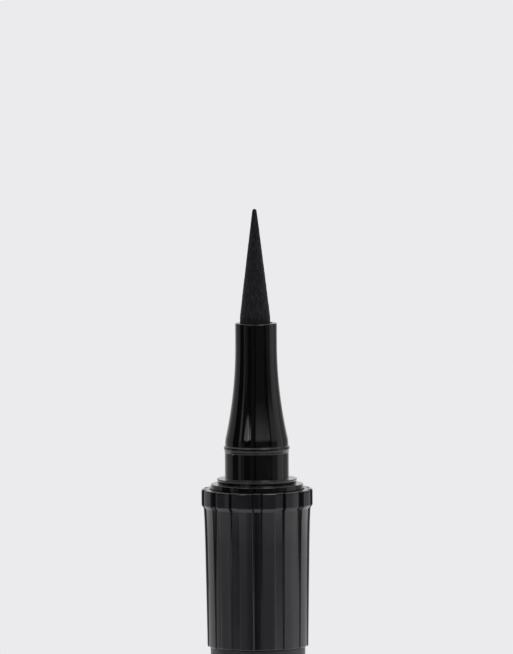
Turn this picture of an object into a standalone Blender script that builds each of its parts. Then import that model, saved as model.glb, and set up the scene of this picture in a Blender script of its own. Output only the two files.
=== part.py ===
"""Liquid eyeliner pen: felt nib, flared nose cone, stepped collar, fluted grip sleeve and
plain barrel, with a free-ink tank, a comb collector and a feed rod inside.  The pen stands
upright, nib up, on the closed end of its cap, which is pushed onto the tail.
Lengths are metres, the pen's axis is Z, and the foot of the cap lies on Z = 0.
"""
import math

import bmesh
import bpy

mm = 0.001

# Clearances
seam_gap = 0.10 * mm
push_fit = 0.15 * mm
inner_fit = 0.20 * mm
seat_gap = 0.25 * mm

# Barrel
barrel_radius = 4.20 * mm
barrel_length = 78.6 * mm
spigot_step = 0.50 * mm
spigot_length = 8.2 * mm
spigot_wall = 0.35 * mm
barrel_edge = 0.15 * mm

# Tail plug
plug_head = 1.50 * mm
plug_edge = 0.40 * mm
plug_spigot = 3.40 * mm
plug_wall = 0.80 * mm
plug_floor = 1.20 * mm

# Cap
cap_clearance = 0.15 * mm
cap_wall = 0.65 * mm
cap_end_wall = 1.40 * mm
cap_edge = 0.60 * mm
cap_lead_in = 0.25 * mm
post_depth = 6.50 * mm
cap_stop_ledge = 0.35 * mm
tip_room = 1.90 * mm

# Inner cap
seal_clearance = 0.12 * mm
seal_overlap = 3.50 * mm
seal_wall = 0.55 * mm
seal_end_wall = 0.75 * mm
seal_flange = 0.80 * mm
seal_lead_in = 0.20 * mm

# Fluted grip sleeve
sleeve_height = 14.20 * mm
crown_height = 1.33 * mm
crown_bevel = 0.33 * mm
crown_step = 0.20 * mm
crown_edge = 0.12 * mm
crown_recess = 1.10 * mm
sleeve_overhang = 0.33 * mm
sleeve_chamfer = 0.10 * mm
flute_depth = 0.26 * mm
flute_floor = 0.60 * mm
flute_mouth = 0.88 * mm
flute_count = 14

# Stepped collar and neck
disc_height = 0.52 * mm
lip_radius = 3.60 * mm
lip_height = 0.53 * mm
neck_radius = 2.85 * mm
neck_height = 2.40 * mm
neck_wall = 0.45 * mm
collar_edge = 0.08 * mm
housing_wall = 0.40 * mm
housing_length = 16.0 * mm

# Nose cone
nose_height = 11.09 * mm
mouth_radius = 1.855 * mm
mouth_wall = 0.355 * mm
mouth_edge = 0.11 * mm
nose_inset = 0.03 * mm
nose_wall = 0.60 * mm
bead_height = 0.48 * mm
bead_proud = 0.09 * mm
nose_spigot = 2.30 * mm
nose_spigot_wall = 0.40 * mm
nose_pocket = 1.40 * mm

# Nib
nib_clearance = 0.12 * mm
nib_length = 10.44 * mm
nib_tip_radius = 0.24 * mm
nib_guide = 2.60 * mm
nib_taper = 0.50 * mm
nib_tail = 0.25 * mm

# Nib holder
holder_flange = 0.60 * mm
holder_length = 3.00 * mm
holder_rib = 0.10 * mm
holder_rib_pitch = 0.70 * mm

# Ink feed
feed_radius = 0.75 * mm
feed_clearance = 0.20 * mm
feed_dome = 0.20 * mm
feed_reach = 2.40 * mm
comb_core_wall = 0.50 * mm
comb_drop = 0.30 * mm
comb_head = 1.00 * mm
comb_foot = 1.60 * mm
fin_pitch = 1.10 * mm
fin_thickness = 0.50 * mm
ink_slit = 0.40 * mm
air_slit = 0.70 * mm
air_slit_depth = 0.45 * mm
cut_overrun = 0.60 * mm

# Ink tank, its stopper and the mixing ball
stopper_flange = 0.80 * mm
stopper_spigot = 3.20 * mm
stopper_taper = 0.40 * mm
tank_wall = 0.55 * mm
tank_floor = 0.70 * mm
tank_edge = 0.50 * mm
ball_radius = 1.70 * mm

# Shapes given as shares of the sizes above
nose_land_share = 0.20
nose_flare_end_share = 0.96
nose_flare_power = 1.9
nose_bore_share = 0.58
nib_shank_share = 0.65
sleeve_taper_shares = [(0.0, 1.0), (0.09, 0.78), (0.25, 0.58), (0.62, 0.28), (1.0, 0.0)]

# Facets round the axis
fine_turn = 48
plain_turn = 40
small_turn = 24
comb_turn = 20
rod_turn = 16
flare_steps = 8
ball_turn = 16
ball_rings = 10
columns_per_flute = 8

# Shading and merging
half_corner = math.radians(45)
turned_crease = math.radians(32)
flute_crease = math.radians(24)
merge_distance = 0.001 * mm

# Radii worked out from the axis of the pen
cap_bore = barrel_radius + cap_clearance
cap_radius = cap_bore + cap_wall
crown_radius = cap_radius
cap_inner_bore = cap_bore - cap_stop_ledge
body_top_radius = crown_radius - crown_step
body_foot_radius = barrel_radius + sleeve_overhang
spigot_radius = barrel_radius - spigot_step
sleeve_bore = spigot_radius + push_fit
barrel_bore = spigot_radius - spigot_wall
disc_radius = barrel_radius
recess_radius = disc_radius + seam_gap
housing_radius = barrel_bore - inner_fit
comb_bore = housing_radius - housing_wall
neck_bore = neck_radius - neck_wall
nose_spigot_radius = neck_bore - push_fit
nose_spigot_bore = nose_spigot_radius - nose_spigot_wall
nose_base_radius = neck_radius - nose_inset
nose_pocket_radius = nose_base_radius - nose_wall
nose_bore = mouth_radius - mouth_wall
nib_radius = nose_bore - nib_clearance
shank_radius = nib_radius * nib_shank_share
holder_bore = shank_radius + nib_clearance
holder_radius = nose_spigot_bore - push_fit
seal_bore = mouth_radius + seal_clearance
seal_radius = seal_bore + seal_wall
seal_flange_radius = cap_inner_bore - push_fit
comb_hole = feed_radius + feed_clearance
comb_core_radius = comb_hole + comb_core_wall
fin_radius = comb_bore - push_fit
tank_radius = barrel_bore - inner_fit
tank_bore = tank_radius - tank_wall
plug_spigot_radius = barrel_bore - inner_fit

# Heights worked out from the foot of the cap
mouth_above_crown = disc_height + lip_height + neck_height + seam_gap + bead_height + nose_height
cap_length = (mouth_above_crown + nib_length + tip_room + seal_end_wall + seat_gap + cap_end_wall)
tail_z = cap_length - post_depth
barrel_z = tail_z + plug_head + seam_gap
shoulder_z = barrel_z + barrel_length
sleeve_z = shoulder_z + seam_gap
crown_z = sleeve_z + sleeve_height
disc_z = crown_z + disc_height
lip_z = disc_z + lip_height
neck_z = lip_z + neck_height
nose_z = neck_z + seam_gap
mouth_z = nose_z + bead_height + nose_height
nib_tip_z = mouth_z + nib_length
skirt_z = shoulder_z + spigot_length + seat_gap
housing_z = skirt_z - housing_length
nose_spigot_z = nose_z - nose_spigot
nose_pocket_z = nose_z + bead_height
nib_tail_z = nose_spigot_z - nib_tail
comb_top_z = crown_z - comb_drop
comb_foot_z = housing_z + seat_gap
stopper_top_z = housing_z - seat_gap
tank_top_z = stopper_top_z - stopper_flange - seam_gap
stopper_foot_z = tank_top_z - stopper_spigot
feed_foot_z = stopper_foot_z - feed_reach
feed_top_z = nib_tail_z - push_fit
tank_z = barrel_z + plug_spigot + seat_gap
ball_z = tank_z + tank_floor + seat_gap + ball_radius
cap_step_z = tail_z - seat_gap
seal_mouth_z = cap_length - (mouth_above_crown - seal_overlap)
seal_foot_z = cap_end_wall + seat_gap


def clear_scene():
    """Empty the file, so that the pen stands alone in it."""
    for item in list(bpy.data.objects):
        bpy.data.objects.remove(item, do_unlink=True)


def make_collection(name):
    """A new collection linked to the scene."""
    collection = bpy.data.collections.new(name)
    bpy.context.scene.collection.children.link(collection)
    return collection


def make_holder(name, height, collection):
    """An empty on the pen's axis that carries a group of pieces."""
    holder = bpy.data.objects.new(name, None)
    holder.location.z = height
    holder.empty_display_size = cap_radius
    collection.objects.link(holder)
    return holder


def make_finish(name, color, roughness, metallic=0.0):
    """A Principled material with one colour, roughness and metallic value."""
    material = bpy.data.materials.new(name)
    material.use_nodes = True
    shader = material.node_tree.nodes["Principled BSDF"]
    shader.inputs["Base Color"].default_value = (*color, 1.0)
    shader.inputs["Roughness"].default_value = roughness
    shader.inputs["Metallic"].default_value = metallic
    return material


def gloss_black(name):
    """Polished black moulded plastic."""
    return make_finish(name, (0.012, 0.012, 0.013), 0.12)


def satin_black(name):
    """Black moulded plastic with a fine satin skin."""
    return make_finish(name, (0.016, 0.016, 0.018), 0.30)


def felt_black(name):
    """Bonded fibre soaked in black ink."""
    return make_finish(name, (0.010, 0.010, 0.011), 0.85)


def soft_white(name):
    """Natural, slightly milky moulded plastic."""
    return make_finish(name, (0.72, 0.73, 0.71), 0.45)


def stem_steel(name):
    """Polished stainless steel."""
    return make_finish(name, (0.62, 0.62, 0.64), 0.15, 1.0)


def place(item, height, holder):
    """Hang a piece on its holder, with its own origin at a height on the axis."""
    item.parent = holder
    item.location.z = height - holder.location.z


def turned_mesh(name, outline, turn, ring):
    """Turn an outline of (radius, height) points about Z with a Screw modifier.

    The outline runs down the outer side. A ring's outline closes on itself, and any
    other outline starts and ends on the axis.
    """
    profile = bpy.data.meshes.new(name + "_profile")
    edges = [(index, index + 1) for index in range(len(outline) - 1)]
    if ring:
        edges.append((len(outline) - 1, 0))
    profile.from_pydata([(radius, 0, height) for radius, height in outline], edges, [])
    lathe = bpy.data.objects.new(name + "_lathe", profile)
    bpy.context.scene.collection.objects.link(lathe)
    screw = lathe.modifiers.new("Turn", "SCREW")
    screw.axis = "Z"
    screw.angle = math.tau
    screw.steps = turn
    screw.render_steps = turn
    screw.use_merge_vertices = True
    screw.merge_threshold = merge_distance
    screw.use_smooth_shade = True
    graph = bpy.context.evaluated_depsgraph_get()
    mesh = bpy.data.meshes.new_from_object(lathe.evaluated_get(graph))
    mesh.name = name
    bpy.data.objects.remove(lathe, do_unlink=True)
    bpy.data.meshes.remove(profile)
    mesh.set_sharp_from_angle(angle=turned_crease)
    return mesh


def add_piece(name, mesh, material, height, holder):
    """Put a finished mesh into the pen as a named piece."""
    mesh.materials.clear()
    mesh.materials.append(material)
    item = bpy.data.objects.new(name, mesh)
    parts.objects.link(item)
    place(item, height, holder)
    return item


def turned(name, outline, turn, material, base_z, holder, ring=False):
    """A turned piece whose outline is given in heights above the cap's foot."""
    local = [(radius, height - base_z) for radius, height in outline]
    return add_piece(name, turned_mesh(name, local, turn, ring), material, base_z, holder)


def box_cutter(name, size, center):
    """A box that cuts another piece and is left out of the model."""
    mesh = bpy.data.meshes.new(name)
    shape = bmesh.new()
    bmesh.ops.create_cube(shape, size=1.0)
    bmesh.ops.scale(shape, vec=size, verts=shape.verts)
    bmesh.ops.translate(shape, vec=center, verts=shape.verts)
    shape.to_mesh(mesh)
    shape.free()
    cutter = bpy.data.objects.new(name, mesh)
    cutter.hide_render = True
    cutter.display_type = "WIRE"
    cutters.objects.link(cutter)
    return cutter


def cut(item, cutter):
    """Take a cutter's shape out of a piece."""
    boolean = item.modifiers.new("Cut " + cutter.name, "BOOLEAN")
    boolean.operation = "DIFFERENCE"
    boolean.solver = "EXACT"
    boolean.object = cutter


def nose_flare():
    """Outer line of the nose: straight at the mouth, then flaring to its base.

    Returns (radius, height) points from the mouth's land down to the straight foot.
    """
    base_z = nose_z + bead_height
    points = []
    for step in range(flare_steps + 1):
        share = step / flare_steps
        down = nose_land_share + share * (nose_flare_end_share - nose_land_share)
        swell = (nose_base_radius - mouth_radius) * share ** nose_flare_power
        points.append((mouth_radius + swell, base_z + nose_height * (1 - down)))
    return points


def nib():
    """Felt nib: a long cone with a rounded point, a guide in the nose and a thin shank."""
    tip = nib_tip_radius
    guide_z = mouth_z - nib_guide
    outline = [
        (0, nib_tip_z),
        (tip * math.sin(half_corner), nib_tip_z - tip * (1 - math.cos(half_corner))),
        (tip, nib_tip_z - tip),
        (nib_radius, mouth_z),
        (nib_radius, guide_z),
        (shank_radius, guide_z - nib_taper),
        (shank_radius, nib_tail_z),
        (0, nib_tail_z),
    ]
    return turned("nib", outline, small_turn, felt_black("Nib felt"), nib_tail_z, pen)


def nib_holder():
    """Bushing in the nose's foot that grips the nib's shank, with shallow rings outside."""
    top_z = nose_pocket_z + seat_gap + holder_flange
    flange_z = nose_pocket_z + seat_gap
    foot_z = flange_z - holder_length
    outline = [(nose_pocket_radius - push_fit, top_z), (nose_pocket_radius - push_fit, flange_z)]
    root_radius = holder_radius - holder_rib
    ring_count = int((holder_length - holder_rib_pitch) / holder_rib_pitch)
    for index in range(ring_count):
        ring_z = flange_z - (index + 0.5) * holder_rib_pitch
        outline.append((root_radius, ring_z))
        outline.append((holder_radius, ring_z - holder_rib_pitch / 2))
    outline += [(root_radius, foot_z), (holder_bore, foot_z), (holder_bore, top_z)]
    finish = soft_white("Nib holder plastic")
    return turned("nib_holder", outline, small_turn, finish, foot_z, pen, ring=True)


def nose_cone():
    """Flared nose: thin mouth, seal land, concave flare, bead at the seam and a push-in foot."""
    base_z = nose_z + bead_height
    half_bead = bead_height / 2
    bead_radius = neck_radius + bead_proud
    widen_z = base_z + nose_height * (1 - nose_bore_share)
    outline = [(mouth_radius - mouth_edge, mouth_z), (mouth_radius, mouth_z - mouth_edge)]
    outline += nose_flare()
    outline += [
        (nose_base_radius, base_z),
        (bead_radius, base_z - half_bead / 2),
        (bead_radius, nose_z + half_bead / 2),
        (neck_radius, nose_z),
        (nose_spigot_radius, nose_z),
        (nose_spigot_radius, nose_spigot_z),
        (nose_spigot_bore, nose_spigot_z),
        (nose_spigot_bore, nose_pocket_z),
        (nose_pocket_radius, nose_pocket_z),
        (nose_pocket_radius, nose_pocket_z + nose_pocket),
        (nose_bore, widen_z),
        (nose_bore, mouth_z - mouth_edge),
        (nose_bore + mouth_edge / 2, mouth_z),
    ]
    return turned("nose_cone", outline, plain_turn, gloss_black("Nose gloss"), nose_z, pen, ring=True)


def neck_collar():
    """Neck, lip and disc in one moulding, with the collector's housing below them."""
    edge = collar_edge
    flange_z = crown_z - crown_recess + push_fit
    outline = [
        (neck_radius, neck_z),
        (neck_radius, lip_z),
        (lip_radius - edge, lip_z),
        (lip_radius, lip_z - edge),
        (lip_radius, disc_z),
        (disc_radius - edge, disc_z),
        (disc_radius, disc_z - edge),
        (disc_radius, flange_z),
        (spigot_radius, flange_z),
        (spigot_radius, skirt_z),
        (housing_radius, skirt_z),
        (housing_radius, housing_z),
        (comb_bore, housing_z),
        (comb_bore, comb_top_z + seat_gap),
        (neck_bore, nose_spigot_z - seat_gap),
        (neck_bore, neck_z),
    ]
    return turned("neck_collar", outline, plain_turn, gloss_black("Collar gloss"), crown_z, pen, ring=True)


def flute_places():
    """Angle and depth share of each column across one flute and half the ribs beside it."""
    mouth_half = flute_mouth / (2 * crown_radius)
    floor_half = flute_floor / (2 * crown_radius)
    rib_half = math.pi / flute_count
    rib_step = (rib_half - mouth_half) / 2
    return [
        (0, 1.0),
        (floor_half, 1.0),
        (mouth_half, 0.0),
        (mouth_half + rib_step, 0.0),
        (rib_half, 0.0),
        (2 * rib_half - mouth_half - rib_step, 0.0),
        (2 * rib_half - mouth_half, 0.0),
        (2 * rib_half - floor_half, 1.0),
    ]


def sleeve_outline():
    """Grip sleeve's section: crown ring, bevel, tapered body and stepped bore."""
    body_z = crown_z - crown_height - crown_bevel
    body_height = body_z - sleeve_z
    taper = body_top_radius - body_foot_radius
    recess_z = crown_z - crown_recess
    outline = [
        (crown_radius - crown_edge, crown_z),
        (crown_radius, crown_z - crown_edge),
        (crown_radius, crown_z - crown_height + crown_edge),
        (crown_radius - crown_edge / 2, crown_z - crown_height),
    ]
    for down, width in sleeve_taper_shares[:-1]:
        outline.append((body_foot_radius + taper * width, body_z - body_height * down))
    outline += [
        (body_foot_radius, sleeve_z + sleeve_chamfer),
        (body_foot_radius - sleeve_chamfer, sleeve_z),
        (sleeve_bore, sleeve_z),
        (sleeve_bore, recess_z),
        (recess_radius, recess_z),
        (recess_radius, crown_z),
    ]
    return outline


def grip_sleeve():
    """Fluted sleeve: a turned shell whose outer wall is drawn in along fourteen grooves."""
    local = [(radius, height - sleeve_z) for radius, height in sleeve_outline()]
    turn = flute_count * columns_per_flute
    mesh = turned_mesh("grip_sleeve", local, turn, ring=True)
    places = flute_places()
    column_angle = math.tau / turn
    front = -math.pi / 2
    for vertex in mesh.vertices:
        radius = math.hypot(vertex.co.x, vertex.co.y)
        if radius <= recess_radius + seam_gap / 2:
            continue
        angle = (math.atan2(vertex.co.y, vertex.co.x) - front) % math.tau
        column = round(angle / column_angle) % turn
        flute, slot = divmod(column, columns_per_flute)
        across, depth = places[slot]
        turn_to = front + flute * math.tau / flute_count + across
        reach = radius - flute_depth * depth
        vertex.co.x = reach * math.cos(turn_to)
        vertex.co.y = reach * math.sin(turn_to)
    mesh.set_sharp_from_angle(angle=flute_crease)
    return add_piece("grip_sleeve", mesh, satin_black("Sleeve satin"), sleeve_z, pen)


def ink_collector():
    """Comb collector: thin fins on a hollow core, slit for ink and notched for air."""
    head_z = comb_top_z - comb_head
    foot_z = comb_foot_z + comb_foot
    fin_count = int((head_z - foot_z) / fin_pitch)
    outline = [(fin_radius, comb_top_z), (fin_radius, head_z), (comb_core_radius, head_z)]
    for index in range(fin_count - 1):
        fin_z = head_z - (index + 1) * fin_pitch
        outline.append((comb_core_radius, fin_z + fin_thickness / 2))
        outline.append((fin_radius, fin_z + fin_thickness / 2))
        outline.append((fin_radius, fin_z - fin_thickness / 2))
        outline.append((comb_core_radius, fin_z - fin_thickness / 2))
    outline += [
        (comb_core_radius, foot_z),
        (fin_radius, foot_z),
        (fin_radius, comb_foot_z),
        (comb_hole, comb_foot_z),
        (comb_hole, comb_top_z),
    ]
    finish = soft_white("Collector plastic")
    comb = turned("ink_collector", outline, comb_turn, finish, comb_foot_z, pen, ring=True)
    slit_length = head_z - foot_z + comb_head / 2
    slit_z = (head_z + foot_z) / 2
    slit_depth = fin_radius - comb_core_radius + cut_overrun
    slit_x = comb_core_radius + slit_depth / 2
    cut(comb, box_cutter("ink_slit_cutter", (slit_depth, ink_slit, slit_length), (slit_x, 0, slit_z)))
    notch_depth = air_slit_depth + cut_overrun
    notch_x = fin_radius - air_slit_depth + notch_depth / 2
    cut(comb, box_cutter("air_notch_cutter", (notch_depth, air_slit, slit_length), (-notch_x, 0, slit_z)))
    return comb


def feed_rod():
    """Bonded fibre rod that carries ink from the tank up to the nib's tail."""
    outline = [
        (0, feed_top_z),
        (feed_radius - feed_dome, feed_top_z),
        (feed_radius, feed_top_z - feed_dome),
        (feed_radius, feed_foot_z + feed_dome),
        (feed_radius - feed_dome, feed_foot_z),
        (0, feed_foot_z),
    ]
    return turned("feed_rod", outline, rod_turn, felt_black("Feed fibre"), feed_foot_z, pen)


def tank_stopper():
    """Bored plug that closes the ink tank round the feed rod."""
    flange_z = tank_top_z + seam_gap
    stem_radius = tank_bore - push_fit
    outline = [
        (tank_radius, stopper_top_z),
        (tank_radius, flange_z),
        (stem_radius, flange_z),
        (stem_radius, stopper_foot_z + stopper_taper),
        (stem_radius - stopper_taper, stopper_foot_z),
        (comb_hole, stopper_foot_z),
        (comb_hole, stopper_top_z),
    ]
    finish = soft_white("Stopper plastic")
    return turned("tank_stopper", outline, small_turn, finish, stopper_foot_z, pen, ring=True)


def ink_tank():
    """Closed-end tube that holds the ink and the mixing ball."""
    floor_z = tank_z + tank_floor
    outline = [
        (0, floor_z),
        (tank_bore - tank_edge, floor_z),
        (tank_bore, floor_z + tank_edge),
        (tank_bore, tank_top_z),
        (tank_radius, tank_top_z),
        (tank_radius, tank_z + tank_edge),
        (tank_radius - tank_edge, tank_z),
        (0, tank_z),
    ]
    return turned("ink_tank", outline, plain_turn, soft_white("Tank plastic"), tank_z, pen)


def mixing_ball():
    """Loose steel ball that stirs the ink when the pen is shaken."""
    mesh = bpy.data.meshes.new("mixing_ball")
    shape = bmesh.new()
    bmesh.ops.create_uvsphere(shape, u_segments=ball_turn, v_segments=ball_rings, radius=ball_radius)
    shape.to_mesh(mesh)
    shape.free()
    mesh.shade_smooth()
    return add_piece("mixing_ball", mesh, stem_steel("Ball steel"), ball_z, ball_slide)


def barrel():
    """Plain tube with a thinner spigot on top, which the grip sleeve is pushed over."""
    top_z = shoulder_z + spigot_length
    outline = [
        (spigot_radius - barrel_edge, top_z),
        (spigot_radius, top_z - barrel_edge),
        (spigot_radius, shoulder_z),
        (barrel_radius - barrel_edge, shoulder_z),
        (barrel_radius, shoulder_z - barrel_edge),
        (barrel_radius, barrel_z + barrel_edge / 2),
        (barrel_radius - barrel_edge / 2, barrel_z),
        (barrel_bore, barrel_z),
        (barrel_bore, top_z),
    ]
    return turned("barrel", outline, fine_turn, satin_black("Barrel satin"), barrel_z, pen, ring=True)


def tail_plug():
    """Round-edged plug pushed into the barrel's tail, with a hollow spigot under the tank."""
    top_z = barrel_z + plug_spigot
    head_z = tail_z + plug_head
    cup_radius = plug_spigot_radius - plug_wall
    cup_z = tail_z + plug_floor
    bend = plug_edge * (1 - math.cos(half_corner))
    outline = [
        (0, cup_z),
        (cup_radius, cup_z),
        (cup_radius, top_z),
        (plug_spigot_radius, top_z),
        (plug_spigot_radius, head_z),
        (barrel_radius - barrel_edge / 2, head_z),
        (barrel_radius, head_z - barrel_edge / 2),
        (barrel_radius, tail_z + plug_edge),
        (barrel_radius - bend, tail_z + bend),
        (barrel_radius - plug_edge, tail_z),
        (0, tail_z),
    ]
    return turned("tail_plug", outline, plain_turn, satin_black("Plug satin"), tail_z, pen)


def cap_shell():
    """Outer cap: a cup whose wider mouth takes the tail or the collar up to a ledge."""
    inner_z = cap_end_wall
    bend = cap_edge * (1 - math.cos(half_corner))
    outline = [
        (0, inner_z),
        (cap_inner_bore, inner_z),
        (cap_inner_bore, cap_step_z),
        (cap_bore, cap_step_z),
        (cap_bore, cap_length - cap_lead_in),
        (cap_bore + cap_lead_in, cap_length),
        (cap_radius - cap_lead_in / 2, cap_length),
        (cap_radius, cap_length - cap_lead_in / 2),
        (cap_radius, cap_edge),
        (cap_radius - bend, bend),
        (cap_radius - cap_edge, 0),
        (0, 0),
    ]
    return turned("cap_shell", outline, fine_turn, satin_black("Cap satin"), 0, cap_slide)


def inner_cap():
    """Soft liner held in the cap by two flanges, whose bore seals on the nose's land."""
    foot_z = seal_foot_z
    floor_z = foot_z + seal_end_wall
    outline = [
        (0, floor_z),
        (seal_bore, floor_z),
        (seal_bore, seal_mouth_z - seal_lead_in),
        (seal_bore + seal_lead_in, seal_mouth_z),
        (seal_flange_radius, seal_mouth_z),
        (seal_flange_radius, seal_mouth_z - seal_flange),
        (seal_radius, seal_mouth_z - seal_flange),
        (seal_radius, foot_z + seal_flange),
        (seal_flange_radius, foot_z + seal_flange),
        (seal_flange_radius, foot_z),
        (0, foot_z),
    ]
    return turned("inner_cap", outline, small_turn, soft_white("Inner cap plastic"), foot_z, cap_slide)


def build_pen():
    """Make every piece, from the nib down to the cap."""
    nib()
    nib_holder()
    nose_cone()
    neck_collar()
    grip_sleeve()
    ink_collector()
    feed_rod()
    tank_stopper()
    ink_tank()
    mixing_ball()
    barrel()
    tail_plug()
    cap_shell()
    inner_cap()


clear_scene()
parts = make_collection("liquid_eyeliner_pen")
cutters = make_collection("cutters")
pen = make_holder("pen_axis", 0, parts)
cap_slide = make_holder("cap_slide", tail_z, parts)
ball_slide = make_holder("ball_slide", ball_z, parts)
build_pen()
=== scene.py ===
import math

import bmesh
import bpy
from mathutils import Matrix, Vector, noise


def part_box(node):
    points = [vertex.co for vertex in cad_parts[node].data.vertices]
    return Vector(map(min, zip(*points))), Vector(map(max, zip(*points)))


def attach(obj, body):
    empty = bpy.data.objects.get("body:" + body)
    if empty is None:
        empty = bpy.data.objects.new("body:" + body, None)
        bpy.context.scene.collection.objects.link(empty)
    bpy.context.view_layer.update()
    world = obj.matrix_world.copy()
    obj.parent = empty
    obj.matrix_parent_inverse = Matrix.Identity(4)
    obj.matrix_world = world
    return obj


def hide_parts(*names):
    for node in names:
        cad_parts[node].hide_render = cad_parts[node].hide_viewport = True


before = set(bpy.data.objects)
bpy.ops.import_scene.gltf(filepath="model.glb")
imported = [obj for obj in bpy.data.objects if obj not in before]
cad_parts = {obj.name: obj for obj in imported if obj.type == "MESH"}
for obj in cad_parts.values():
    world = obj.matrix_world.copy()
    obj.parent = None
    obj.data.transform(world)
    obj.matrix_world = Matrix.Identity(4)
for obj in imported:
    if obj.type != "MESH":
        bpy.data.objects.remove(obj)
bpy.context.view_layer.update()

mm = 0.001


# Camera
# It stands well back and looks slightly down on the pen's upper part, so the picture is
# almost free of perspective.  The pen leans a little to the left in it.
crown_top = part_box("grip_sleeve")[1].z
view_height = 59.19 * mm
view_distance = 1.20
view_azimuth = math.radians(-0.2)
view_elevation = math.radians(4.9)
view_roll = math.radians(-0.36)
view_centre = Vector((0.045 * mm, 0, crown_top + 14.74 * mm))

camera_data = bpy.data.cameras.new("Camera")
camera_data.lens = camera_data.sensor_width * view_distance / view_height
camera_data.clip_start = 0.01
camera_data.clip_end = 20
camera = bpy.data.objects.new("Camera", camera_data)
bpy.context.scene.collection.objects.link(camera)
backward = Vector((
    math.sin(view_azimuth) * math.cos(view_elevation),
    -math.cos(view_azimuth) * math.cos(view_elevation),
    math.sin(view_elevation),
))
camera.matrix_world = (
    Matrix.Translation(view_centre + backward * view_distance)
    @ backward.to_track_quat("Z", "Y").to_matrix().to_4x4()
    @ Matrix.Rotation(view_roll, 4, "Z")
)
bpy.context.scene.camera = camera
bpy.context.scene.view_settings.view_transform = "Standard"


# Studio light
# A white cove stands behind the pen, its side walls turning towards the front, and polished
# pieces mirror the backdrop that the camera sees.  Black flags and a few soft lamps in front
# draw their long reflections.
class Wire:
    """A node's output that takes part in Python sums, so that a rule reads as a formula."""

    def __init__(self, tree, socket):
        self.tree = tree
        self.socket = socket

    @staticmethod
    def node(tree, kind, settings=None, inputs=None, output=0):
        """Adds any node: its type, its settings, then its inputs by name or number."""
        made = tree.nodes.new(kind)
        for name, value in (settings or {}).items():
            setattr(made, name, value)
        for key, value in (inputs or {}).items():
            if isinstance(value, Wire):
                tree.links.new(value.socket, made.inputs[key])
            else:
                made.inputs[key].default_value = value
        return Wire(tree, made.outputs[output])

    def math(self, operation, *values):
        """A Math node whose inputs are the values in their order."""
        inputs = dict(enumerate(values))
        return Wire.node(self.tree, "ShaderNodeMath", {"operation": operation}, inputs)

    def __add__(self, other):
        return self.math("ADD", self, other)

    def __radd__(self, other):
        return self.math("ADD", other, self)

    def __sub__(self, other):
        return self.math("SUBTRACT", self, other)

    def __rsub__(self, other):
        return self.math("SUBTRACT", other, self)

    def __mul__(self, other):
        return self.math("MULTIPLY", self, other)

    def __rmul__(self, other):
        return self.math("MULTIPLY", other, self)

    def __truediv__(self, other):
        return self.math("DIVIDE", self, other)

    def __rtruediv__(self, other):
        return self.math("DIVIDE", other, self)

    def __pow__(self, other):
        return self.math("POWER", self, other)

    def __abs__(self):
        return self.math("ABSOLUTE", self)


def ramp(value, start, end):
    """Rises softly from 0 where the value is start to 1 where it is end."""
    return Wire.node(
        value.tree, "ShaderNodeMapRange", {"interpolation_type": "SMOOTHSTEP"},
        {"Value": value, "From Min": start, "From Max": end},
    )


def blend(tree, share, first, second):
    """Mixes two colours."""
    return Wire.node(
        tree, "ShaderNodeMix", {"data_type": "RGBA"}, {0: share, 6: first, 7: second}, output=2,
    )


pale = (0.831, 0.831, 0.847, 1)
world = bpy.data.worlds.new("Studio")
world.use_nodes = True
sky = world.node_tree
sky.nodes.clear()
direction = Wire.node(sky, "ShaderNodeTexCoord").socket
split = sky.nodes.new("ShaderNodeSeparateXYZ")
sky.links.new(direction, split.inputs[0])
sky_x, sky_y, sky_z = (Wire(sky, socket) for socket in split.outputs)
degree = 180 / math.pi
azimuth = sky_x.math("ARCTAN2", sky_x, 0 - sky_y) * degree
elevation = sky_z.math("ARCSINE", sky_z) * degree


def panel(light, level, start, end, low=-90, high=90, soft=2.0, soft_up=4.0):
    """Lays a soft-edged panel over the light, between two azimuths and two elevations.

    All are in degrees round the pen, and azimuth 0 lies towards the camera.
    """
    cover = ramp(azimuth, start - soft, start + soft)
    cover = cover * (1 - ramp(azimuth, end - soft, end + soft))
    if low > -90:
        cover = cover * ramp(elevation, low - soft_up, low + soft_up)
    if high < 90:
        cover = cover * (1 - ramp(elevation, high - soft_up, high + soft_up))
    return light + (level - light) * cover


# Walls and flags, then strips and ceiling: level, azimuth from and to, elevation from and to,
# softness across and up.
light = sky_x * 0
for wall_or_flag in (
    (0.08, -200, 200),
    (0.50, -200, -132, -90, 90, 5),
    (0.33, -132, -98, -90, 90, 2),
    (0.02, -98, -70, -90, 90, 1.5),
    (0.36, -70, -61, -90, 90, 1.2),
    (0.62, -70, -61, 8, 90, 1.2),
    (0.14, -61, -47, -90, 90, 2),
    (0.02, -47, -24, -90, 90, 3),
    (0.01, -11, -3, -90, 90, 1.5),
    (0.02, 43, 58, -90, 90, 3),
    (0.14, 58, 80, -90, 90, 2),
    (0.45, 58, 80, 8, 90, 2),
    (0.58, 80, 114, -90, 90, 3),
    (0.28, 114, 146, -90, 90, 4),
    (0.50, 146, 200, -90, 90, 6),
    (0.68, -4, 52, 14.5, 90, 4, 6.5),
    (1.10, 46, 50, 16, 90, 1.5, 3),
    (0.02, -98, -72, 6, 90, 3, 3),
    (0.03, -60, -50, 6, 90, 3, 3),
):
    light = panel(light, *wall_or_flag)
dish_azimuth, dish_elevation, dish_size, dish_level = -39, 28, 15.5, 1.3
dish_across = azimuth - dish_azimuth
dish_up = elevation - dish_elevation
dish_far = (dish_across * dish_across + dish_up * dish_up) ** 0.5
light = light + dish_level * (1 - ramp(dish_far, dish_size - 1, dish_size + 1))
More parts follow.
